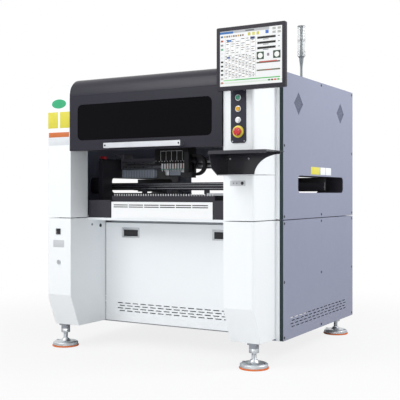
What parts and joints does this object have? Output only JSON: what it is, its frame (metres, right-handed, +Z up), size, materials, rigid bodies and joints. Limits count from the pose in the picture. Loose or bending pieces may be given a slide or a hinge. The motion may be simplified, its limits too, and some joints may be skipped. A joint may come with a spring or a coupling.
{
  "type": "pick and place machine",
  "caption": "Floor-standing surface-mount pick and place machine with a lifting hood, gantry head, board conveyor, feeder bank and operator controls.",
  "frame": {"origin": "on the floor, under the middle of the cabinet", "axes": "+X along the board conveyor to the operator's right, +Y from the operator to the rear, +Z up"},
  "size_m": [1.525, 1.514, 1.791],
  "materials": {
    "frame": "grey powder coat",
    "bed": "painted casting, ground top",
    "dark_metal": "dark grey fine texture powder coat",
    "side_panel": "blue-grey satin powder coat",
    "guard": "dark perforated sheet",
    "rear_paint": "light grey satin powder coat",
    "white_paint": "white satin powder coat",
    "rail_black": "black anodised profile",
    "camera": "black camera case",
    "machine_metal": "ground steel",
    "electronics": "light grey equipment cases",
    "inlet": "black socket with nickel air fitting",
    "control_panel": "dark grey panel with metal bezels",
    "tray": "black fine texture powder coat",
    "shelf": "light grey sheet",
    "pole": "dark grey moulding",
    "lens": "clear stacked lenses",
    "beam": "blue-grey painted casting",
    "head_cover": "black moulded cover",
    "chain": "black moulded chain links",
    "nozzle": "white reflector disc on a steel spindle",
    "hood_paint": "graphite satin powder coat",
    "window": "black tinted polycarbonate",
    "aluminium": "brushed, clear anodised",
    "black_plastic": "moulded",
    "button_green": "moulded cap",
    "button_yellow": "moulded cap",
    "button_white": "moulded cap",
    "estop": "moulded mushroom head",
    "lock": "nickel plated",
    "arm": "dark grey",
    "monitor": "dark grey moulded case with a lit screen",
    "foot": "zinc plated pad and spindle, orange rubber sole"
  },
  "bodies": {
    "cabinet": {"base_frame": "frame", "machine_bed": "bed", "side_frames": "dark_metal", "side_panel_left_upper": "side_panel", "side_panel_left_lower": "side_panel", "side_panel_right_upper": "side_panel", "side_panel_right_lower": "side_panel", "fan_guards": "guard", "rear_cover": "rear_paint", "rear_panel": "side_panel", "column_left_upper": "white_paint", "column_left_lower": "white_paint", "column_right_upper": "white_paint", "column_right_lower": "white_paint", "feeder_table": "white_paint", "feeder_cover": "white_paint", "feeder_bank": "dark_metal", "conveyor_fixed_rail": "rail_black", "up_camera": "camera", "nozzle_station": "machine_metal", "control_unit": "electronics", "rear_inlets": "inlet", "control_panel": "control_panel", "keyboard_tray": "tray", "tower_light_pole": "pole", "tower_light_lens": "lens"},
    "gantry": {"gantry_beam": "beam"},
    "head": {"head_housing": "head_cover", "head_camera": "camera", "cable_chain": "chain"},
    "nozzle_1": {"nozzle_1": "nozzle"},
    "nozzle_2": {"nozzle_2": "nozzle"},
    "nozzle_3": {"nozzle_3": "nozzle"},
    "nozzle_4": {"nozzle_4": "nozzle"},
    "nozzle_5": {"nozzle_5": "nozzle"},
    "nozzle_6": {"nozzle_6": "nozzle"},
    "nozzle_7": {"nozzle_7": "nozzle"},
    "nozzle_8": {"nozzle_8": "nozzle"},
    "nozzle_9": {"nozzle_9": "nozzle"},
    "nozzle_10": {"nozzle_10": "nozzle"},
    "hood": {"hood": "hood_paint", "hood_window": "window", "hood_handle": "aluminium"},
    "door": {"front_door": "white_paint"},
    "latch_left": {"latch_left": "black_plastic"},
    "latch_right": {"latch_right": "black_plastic"},
    "button_green": {"button_green": "button_green"},
    "button_yellow": {"button_yellow": "button_yellow"},
    "button_white": {"button_white": "button_white"},
    "estop": {"estop_button": "estop"},
    "power_rocker": {"power_rocker": "black_plastic"},
    "key_lock": {"key_lock": "lock"},
    "monitor_arm": {"monitor_arm": "arm"},
    "monitor": {"monitor": "monitor"},
    "mouse_shelf": {"mouse_shelf": "shelf"},
    "width_rail": {"conveyor_movable_rail": "rail_black"},
    "foot_front_left": {"foot_front_left": "foot"},
    "foot_front_right": {"foot_front_right": "foot"},
    "foot_rear_left": {"foot_rear_left": "foot"},
    "foot_rear_right": {"foot_rear_right": "foot"}
  },
  "joints": [
    {"name": "gantry_y", "type": "slide", "parent": "cabinet", "child": "gantry", "axis": [0, 1, 0], "range_m": [-0.11, 0.45]},
    {"name": "head_x", "type": "slide", "parent": "gantry", "child": "head", "axis": [1, 0, 0], "range_m": [-0.28, 0.34]},
    {"name": "nozzle_1_z", "type": "slide", "parent": "head", "child": "nozzle_1", "axis": [0, 0, -1], "range_m": [0, 0.08]},
    {"name": "nozzle_2_z", "type": "slide", "parent": "head", "child": "nozzle_2", "axis": [0, 0, -1], "range_m": [0, 0.08]},
    {"name": "nozzle_3_z", "type": "slide", "parent": "head", "child": "nozzle_3", "axis": [0, 0, -1], "range_m": [0, 0.08]},
    {"name": "nozzle_4_z", "type": "slide", "parent": "head", "child": "nozzle_4", "axis": [0, 0, -1], "range_m": [0, 0.08]},
    {"name": "nozzle_5_z", "type": "slide", "parent": "head", "child": "nozzle_5", "axis": [0, 0, -1], "range_m": [0, 0.08]},
    {"name": "nozzle_6_z", "type": "slide", "parent": "head", "child": "nozzle_6", "axis": [0, 0, -1], "range_m": [0, 0.08]},
    {"name": "nozzle_7_z", "type": "slide", "parent": "head", "child": "nozzle_7", "axis": [0, 0, -1], "range_m": [0, 0.08]},
    {"name": "nozzle_8_z", "type": "slide", "parent": "head", "child": "nozzle_8", "axis": [0, 0, -1], "range_m": [0, 0.08]},
    {"name": "nozzle_9_z", "type": "slide", "parent": "head", "child": "nozzle_9", "axis": [0, 0, -1], "range_m": [0, 0.08]},
    {"name": "nozzle_10_z", "type": "slide", "parent": "head", "child": "nozzle_10", "axis": [0, 0, -1], "range_m": [0, 0.08]},
    {"name": "hood_lift", "type": "hinge", "parent": "cabinet", "child": "hood", "pos_m": [0, -0.145, 1.473], "axis": [-1, 0, 0], "range_deg": [0, 50]},
    {"name": "door_drop", "type": "hinge", "parent": "cabinet", "child": "door", "pos_m": [0, -0.317, 0.136], "axis": [1, 0, 0], "range_deg": [0, 80]},
    {"name": "latch_left_pull", "type": "hinge", "parent": "door", "child": "latch_left", "pos_m": [-0.297, -0.322, 0.648], "axis": [-1, 0, 0], "range_deg": [0, 40], "stiffness_Nm_per_rad": 0.05},
    {"name": "latch_right_pull", "type": "hinge", "parent": "door", "child": "latch_right", "pos_m": [0.297, -0.322, 0.648], "axis": [-1, 0, 0], "range_deg": [0, 40], "stiffness_Nm_per_rad": 0.05},
    {"name": "button_green_press", "type": "slide", "parent": "cabinet", "child": "button_green", "axis": [0, 1, 0], "range_m": [0, 0.004], "stiffness_N_per_m": 400},
    {"name": "button_yellow_press", "type": "slide", "parent": "cabinet", "child": "button_yellow", "axis": [0, 1, 0], "range_m": [0, 0.004], "stiffness_N_per_m": 400},
    {"name": "button_white_press", "type": "slide", "parent": "cabinet", "child": "button_white", "axis": [0, 1, 0], "range_m": [0, 0.004], "stiffness_N_per_m": 400},
    {"name": "estop_press", "type": "slide", "parent": "cabinet", "child": "estop", "axis": [0, 1, 0], "range_m": [0, 0.005], "stiffness_N_per_m": 900},
    {"name": "power_rocker_flip", "type": "hinge", "parent": "cabinet", "child": "power_rocker", "pos_m": [-0.56, -0.639, 0.649], "axis": [-1, 0, 0], "range_deg": [0, 16]},
    {"name": "key_lock_turn", "type": "hinge", "parent": "cabinet", "child": "key_lock", "pos_m": [-0.557, -0.645, 0.48], "axis": [0, -1, 0], "range_deg": [0, 90]},
    {"name": "monitor_swivel", "type": "hinge", "parent": "cabinet", "child": "monitor_arm", "pos_m": [0.59, -0.531, 1.496], "axis": [0, 0, 1], "range_deg": [0, 60]},
    {"name": "monitor_tilt", "type": "hinge", "parent": "monitor_arm", "child": "monitor", "pos_m": [0.666, -0.678, 1.496], "axis": [1, 0, 0], "range_deg": [-6, 10]},
    {"name": "mouse_shelf_out", "type": "slide", "parent": "cabinet", "child": "mouse_shelf", "axis": [1, 0, 0], "range_m": [0, 0.12]},
    {"name": "rail_width", "type": "slide", "parent": "cabinet", "child": "width_rail", "axis": [0, 1, 0], "range_m": [-0.33, 0.18]},
    {"name": "foot_front_left_level", "type": "slide", "parent": "cabinet", "child": "foot_front_left", "axis": [0, 0, -1], "range_m": [0, 0.025]},
    {"name": "foot_front_right_level", "type": "slide", "parent": "cabinet", "child": "foot_front_right", "axis": [0, 0, -1], "range_m": [0, 0.025]},
    {"name": "foot_rear_left_level", "type": "slide", "parent": "cabinet", "child": "foot_rear_left", "axis": [0, 0, -1], "range_m": [0, 0.025]},
    {"name": "foot_rear_right_level", "type": "slide", "parent": "cabinet", "child": "foot_rear_right", "axis": [0, 0, -1], "range_m": [0, 0.025]}
  ]
}
